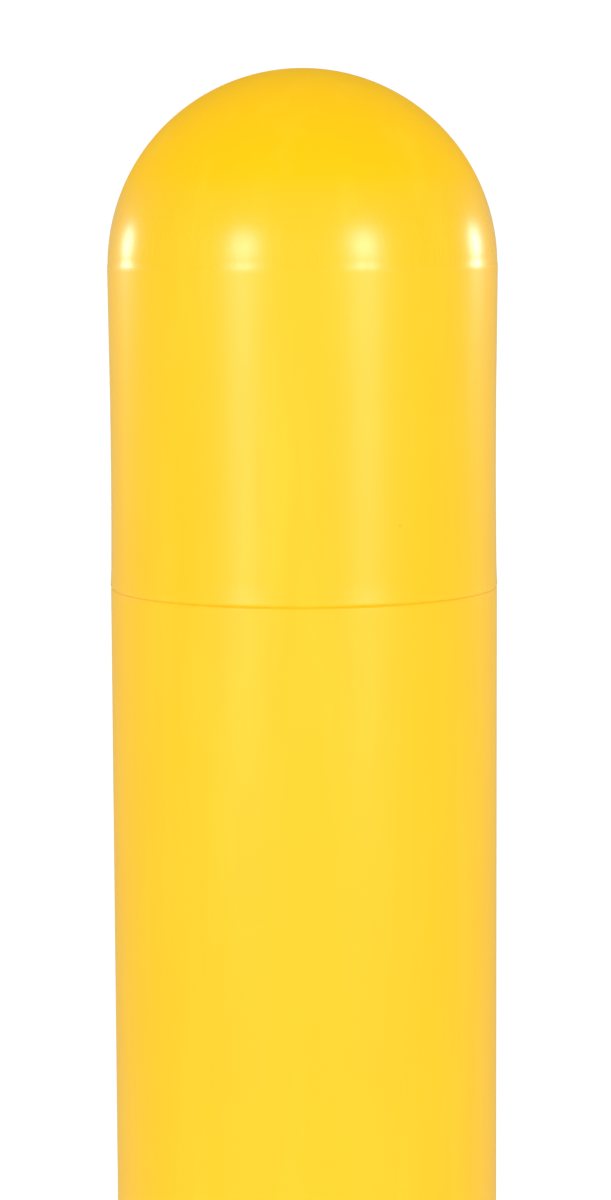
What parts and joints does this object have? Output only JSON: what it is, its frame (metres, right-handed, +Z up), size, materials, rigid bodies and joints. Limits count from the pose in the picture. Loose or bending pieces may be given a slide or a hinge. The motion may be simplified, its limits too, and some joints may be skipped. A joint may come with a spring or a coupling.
{
  "type": "retractable bollard",
  "caption": "Round domed street post in a plastic cover that sinks on a gas spring into a buried steel casing and locks with a key-turned bolt.",
  "frame": {"origin": "centre of the post at ground level, in the plane of the cover plate's top face", "axes": "+Z up along the post, +Y towards the lock at the back, -Y the front"},
  "size_m": [0.37, 0.37, 2.1926],
  "materials": {
    "yellow_plastic": "moulded polyethylene, semi-gloss, fine vertical wipe marks",
    "galvanised_plate": "hot-dip galvanised, dull with spangle",
    "galvanised_tube": "hot-dip galvanised tube",
    "stainless": "brushed stainless steel",
    "zinc_fixings": "bright zinc plate",
    "chromed_rod": "hard chromed and polished",
    "black_enamel": "black enamel",
    "reinforcing_bar": "mill scale with light rust",
    "bronze": "bearing bronze",
    "nylon": "machined nylon",
    "rubber": "moulded rubber",
    "foam": "closed-cell foam tape"
  },
  "bodies": {
    "casing": {"cover_plate": "galvanised_plate", "cover_screws": "stainless", "frame_plate": "galvanised_plate", "wiper_seal": "rubber", "casing_tube": "galvanised_plate", "upper_guide": "nylon", "guide_screws": "zinc_fixings", "stop_ring": "galvanised_plate", "top_buffer": "rubber", "guide_rails": "galvanised_plate", "casing_base": "galvanised_plate", "base_buffers": "rubber", "drain_spigot": "galvanised_plate", "anchor_bars": "reinforcing_bar", "base_bracket": "galvanised_plate", "base_pin": "zinc_fixings", "rod_eye": "zinc_fixings", "gas_rod": "chromed_rod", "gas_piston": "bronze", "lock_housing": "galvanised_plate", "spindle_bracket": "galvanised_plate", "lock_screws": "zinc_fixings", "spindle_bushes": "bronze", "bolt_bush": "bronze", "bolt_guide": "bronze", "key_tube": "galvanised_plate", "flap_pivot": "stainless"},
    "post": {"post_tube": "galvanised_tube", "lower_sleeve": "yellow_plastic", "dome_cap": "yellow_plastic", "foam_strips": "foam", "lock_eyelets": "stainless", "head_plate": "galvanised_plate", "stop_collar": "galvanised_plate", "lower_guide": "nylon", "foot_ring": "galvanised_plate", "foot_screws": "zinc_fixings", "gas_cylinder": "black_enamel", "gas_gland": "bronze", "gas_nut": "zinc_fixings"},
    "spindle": {"key_spindle": "stainless", "spindle_pinion": "bronze", "pinion_pin": "stainless", "spindle_circlip": "black_enamel"},
    "bolt": {"lock_bolt": "stainless"},
    "flap": {"keyhole_cover": "stainless"}
  },
  "joints": [
    {"name": "post_slide", "type": "slide", "parent": "casing", "child": "post", "axis": [0, 0, -1], "range_m": [0, 0.916], "stiffness_N_per_m": 170, "springref_m": -3.2},
    {"name": "spindle_turn", "type": "hinge", "parent": "casing", "child": "spindle", "pos_m": [0.019, 0.14285, 0], "axis": [0, 0, 1], "range_deg": [0, 90]},
    {"name": "bolt_slide", "type": "slide", "parent": "casing", "child": "bolt", "axis": [0, -1, 0], "range_m": [0, 0.01885]},
    {"name": "flap_swing", "type": "hinge", "parent": "casing", "child": "flap", "pos_m": [-0.015, 0.14285, 0], "axis": [0, 0, -1], "range_deg": [0, 90]}
  ],
  "couplings": [
    {"joint": "spindle_turn", "follows": "bolt_slide", "rad_per_m": 83.333}
  ]
}
